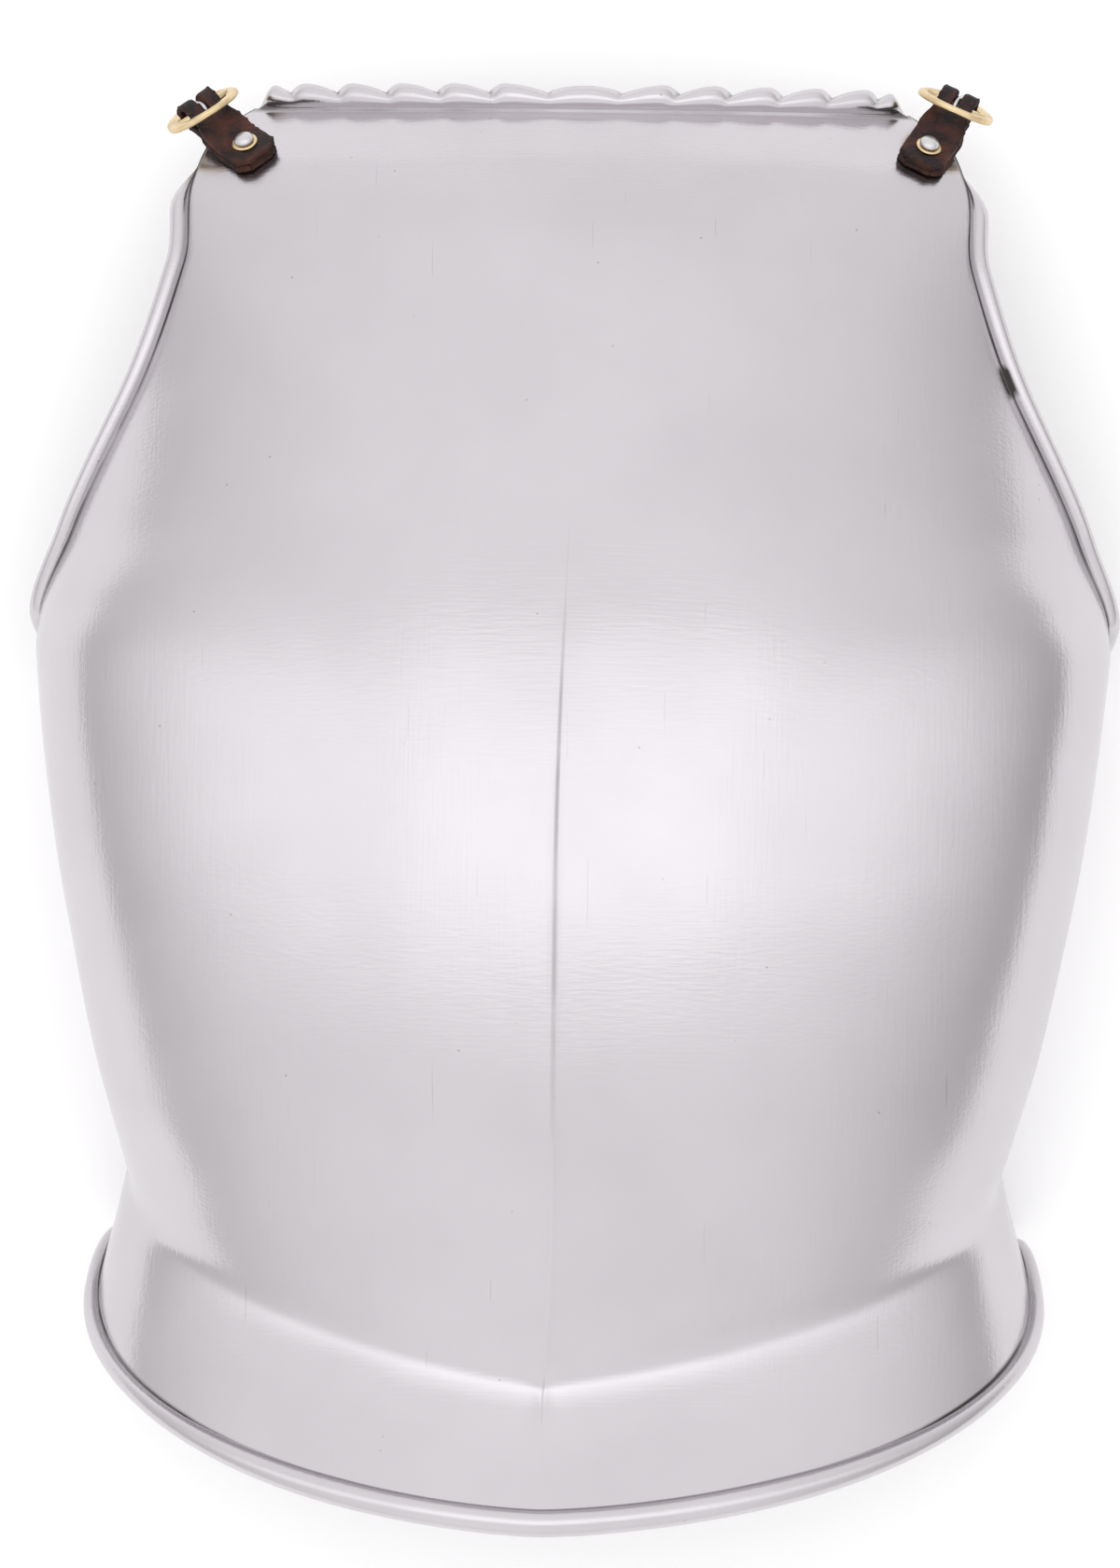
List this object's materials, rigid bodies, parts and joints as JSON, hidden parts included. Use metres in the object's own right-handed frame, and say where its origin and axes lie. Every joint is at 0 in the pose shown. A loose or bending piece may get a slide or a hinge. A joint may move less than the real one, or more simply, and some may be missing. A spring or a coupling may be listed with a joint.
{
  "type": "breastplate",
  "caption": "Steel cuirass breastplate with a medial ridge, creased waist, flared flange, roped neck roll and a short buckled strap at each shoulder.",
  "frame": {"origin": "bottom centre of the part's box: midway across, midway along the body, on the plane the side edges rest on", "axes": "+X across the body, +Y up the body from the waist flange to the neck, +Z outwards from the chest"},
  "size_m": [0.373, 0.489, 0.166],
  "materials": {
    "polished_steel": "polished, faint scratches",
    "dark_leather": "worn, dark brown",
    "brass": "cast, lightly worn",
    "rivet_steel": "plain"
  },
  "bodies": {
    "plate": {"breastplate": "polished_steel", "strap_left": "dark_leather", "strap_right": "dark_leather", "rivet_left": "rivet_steel", "rivet_right": "rivet_steel", "washer_left": "brass", "washer_right": "brass"},
    "buckle_left": {"buckle_left": "brass"},
    "tongue_left": {"tongue_left": "rivet_steel"},
    "buckle_right": {"buckle_right": "brass"},
    "tongue_right": {"tongue_right": "rivet_steel"}
  },
  "joints": [
    {"name": "buckle_left_swing", "type": "hinge", "parent": "plate", "child": "buckle_left", "pos_m": [-0.13002, 0.23163, 0.05523], "axis": [-0.741, -0.579, 0.3401], "range_deg": [-4, 45]},
    {"name": "tongue_left_lift", "type": "hinge", "parent": "buckle_left", "child": "tongue_left", "pos_m": [-0.13002, 0.23163, 0.05523], "axis": [0.741, 0.579, -0.3401], "range_deg": [0, 90]},
    {"name": "buckle_right_swing", "type": "hinge", "parent": "plate", "child": "buckle_right", "pos_m": [0.12866, 0.23652, 0.05002], "axis": [-0.8976, 0.4186, -0.1384], "range_deg": [-4, 45]},
    {"name": "tongue_right_lift", "type": "hinge", "parent": "buckle_right", "child": "tongue_right", "pos_m": [0.12866, 0.23652, 0.05002], "axis": [0.8976, -0.4186, 0.1384], "range_deg": [0, 90]}
  ]
}
